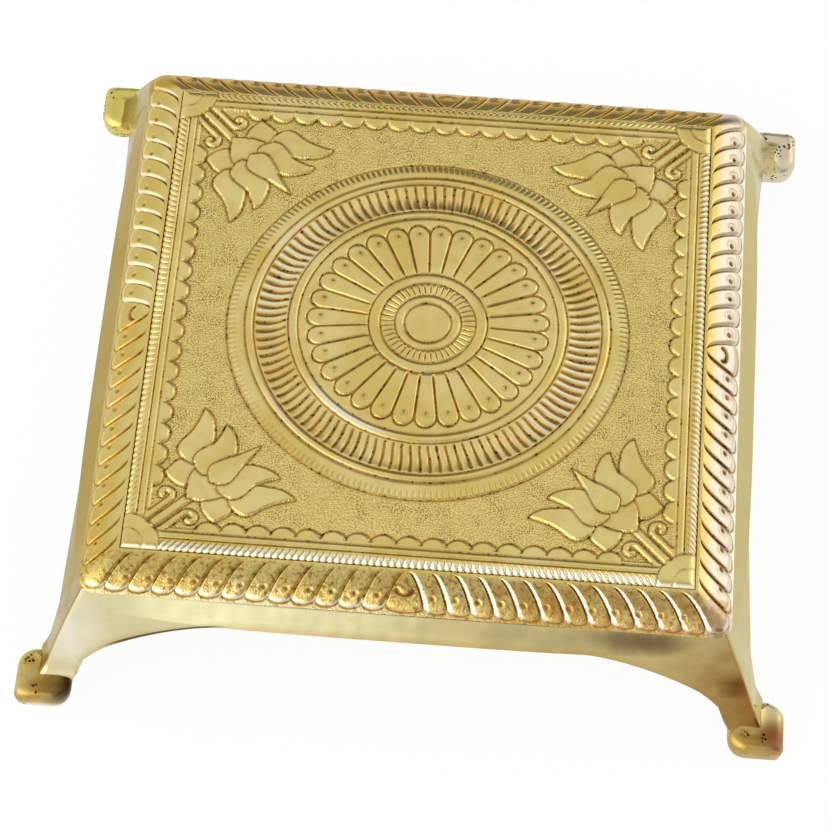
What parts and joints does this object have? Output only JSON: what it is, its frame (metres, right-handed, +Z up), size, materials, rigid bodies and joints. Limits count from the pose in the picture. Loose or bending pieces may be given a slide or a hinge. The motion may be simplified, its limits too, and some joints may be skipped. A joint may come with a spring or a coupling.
{
  "type": "bajot low table",
  "caption": "Small square low table in brass: a lotus and rosette panel in a milled edge, a sloping gadroon border, arched plain sides and outward-turned toes.",
  "frame": {"origin": "centre of the footprint, on the floor under the toes", "axes": "+Z up; the front side faces -Y and +X is to its right"},
  "size_m": [0.2024, 0.2024, 0.0443],
  "materials": {
    "chased_brass": "chased and polished, brown patina in the hollows",
    "polished_brass": "smooth polish with fine wear",
    "cast_brass": "worn cast surface with pits and red-brown patina",
    "screw_brass": "dull turned brass"
  },
  "bodies": {
    "root": {"top_panel": "chased_brass", "gadroon_rim": "chased_brass", "side_front": "polished_brass", "side_right": "polished_brass", "side_back": "polished_brass", "side_left": "polished_brass", "toe_front_right": "cast_brass", "toe_back_right": "cast_brass", "toe_back_left": "cast_brass", "toe_front_left": "cast_brass", "panel_screw_1": "screw_brass", "panel_screw_2": "screw_brass", "panel_screw_3": "screw_brass", "panel_screw_4": "screw_brass", "side_screw_1": "screw_brass", "side_screw_2": "screw_brass", "side_screw_3": "screw_brass", "side_screw_4": "screw_brass", "side_screw_5": "screw_brass", "side_screw_6": "screw_brass", "side_screw_7": "screw_brass", "side_screw_8": "screw_brass"}
  },
  "joints": []
}
